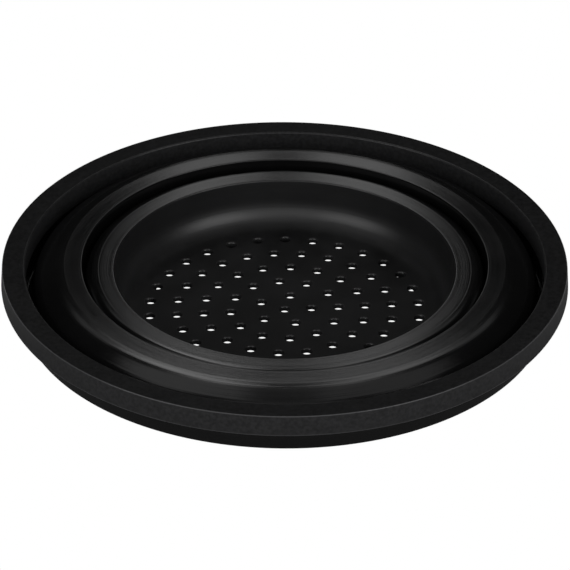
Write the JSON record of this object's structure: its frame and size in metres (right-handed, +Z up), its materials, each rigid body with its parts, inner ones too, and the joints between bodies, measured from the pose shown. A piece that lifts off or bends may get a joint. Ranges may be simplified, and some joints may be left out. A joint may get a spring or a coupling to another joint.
{
  "type": "collapsible colander",
  "caption": "Round collapsible silicone colander, folded flat, with a square rim, stepped folding tiers and a perforated base on low feet.",
  "frame": {"origin": "on the axis, on the surface that the feet stand on", "axes": "+Z up along the axis, out of the bowl's mouth; +X to the right as seen from the front"},
  "size_m": [0.24, 0.24, 0.03],
  "materials": {
    "rim_silicone": "matt black silicone with a fine speckle",
    "body_silicone": "satin black silicone",
    "hoop_steel": "plain drawn steel"
  },
  "bodies": {
    "base": {"base_plate": "body_silicone", "bowl_wall": "body_silicone", "inner_fold": "body_silicone", "foot_1": "body_silicone", "foot_2": "body_silicone", "foot_3": "body_silicone", "foot_4": "body_silicone", "foot_5": "body_silicone"},
    "middle": {"middle_wall": "body_silicone", "outer_fold": "body_silicone"},
    "rim": {"rim": "rim_silicone", "rim_hoop": "hoop_steel", "outer_wall": "body_silicone"}
  },
  "joints": [
    {"name": "lower_fold", "type": "slide", "parent": "base", "child": "middle", "axis": [0, 0, 1], "range_m": [0, 0.0332], "deforming": ["inner_fold"]},
    {"name": "upper_fold", "type": "slide", "parent": "middle", "child": "rim", "axis": [0, 0, 1], "range_m": [0, 0.0382], "deforming": ["outer_fold"]}
  ]
}
